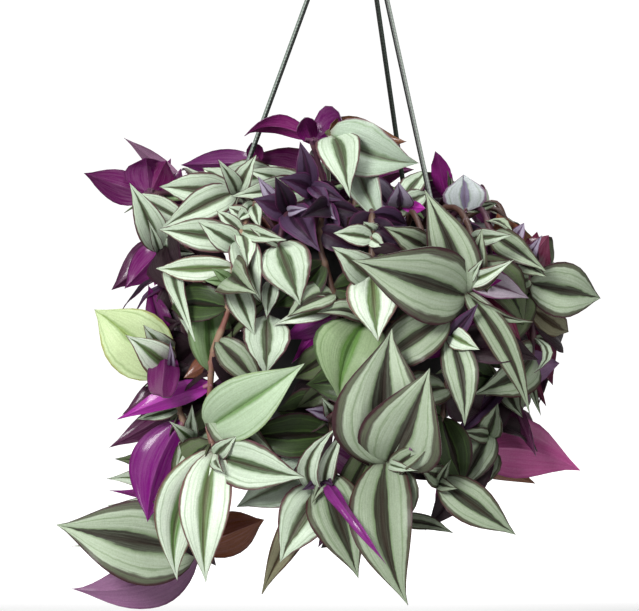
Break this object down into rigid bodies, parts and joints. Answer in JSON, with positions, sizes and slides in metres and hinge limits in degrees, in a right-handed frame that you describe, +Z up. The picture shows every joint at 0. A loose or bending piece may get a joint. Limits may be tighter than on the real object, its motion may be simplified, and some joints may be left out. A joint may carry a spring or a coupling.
{
  "type": "hanging pot plant",
  "caption": "Silver inch plant with striped silver and purple leaves, trailing over a round pot that hangs from a hook on slim rods.",
  "frame": {"origin": "hanging point: top of the inside of the hook's crook", "axes": "+Z up through the hook; -Y towards the side seen in the picture; +X to its right"},
  "size_m": [0.3154, 0.2858, 0.4798],
  "materials": {
    "pot": "satin",
    "soil": "matte",
    "hanger": "satin",
    "foliage": "satin"
  },
  "bodies": {
    "root": {"pot": "pot", "soil": "soil", "hook": "hanger", "hanger_rod_1": "hanger", "hanger_rod_2": "hanger", "hanger_rod_3": "hanger", "leafy_stem_01": "foliage", "leafy_stem_02": "foliage", "leafy_stem_03": "foliage", "leafy_stem_04": "foliage", "leafy_stem_05": "foliage", "leafy_stem_06": "foliage", "leafy_stem_07": "foliage", "leafy_stem_08": "foliage", "leafy_stem_09": "foliage", "leafy_stem_10": "foliage", "leafy_stem_11": "foliage", "leafy_stem_12": "foliage", "leafy_stem_13": "foliage", "leafy_stem_14": "foliage", "leafy_stem_15": "foliage", "leafy_stem_16": "foliage", "leafy_stem_17": "foliage", "leafy_stem_18": "foliage", "leafy_stem_19": "foliage", "leafy_stem_20": "foliage", "leafy_stem_21": "foliage", "leafy_stem_22": "foliage", "leafy_stem_23": "foliage", "leafy_stem_24": "foliage", "leafy_stem_25": "foliage", "leafy_stem_26": "foliage", "leafy_stem_27": "foliage", "leafy_stem_28": "foliage", "leafy_stem_29": "foliage", "leafy_stem_30": "foliage", "leafy_stem_31": "foliage", "leafy_stem_32": "foliage", "leafy_stem_33": "foliage"}
  },
  "joints": []
}
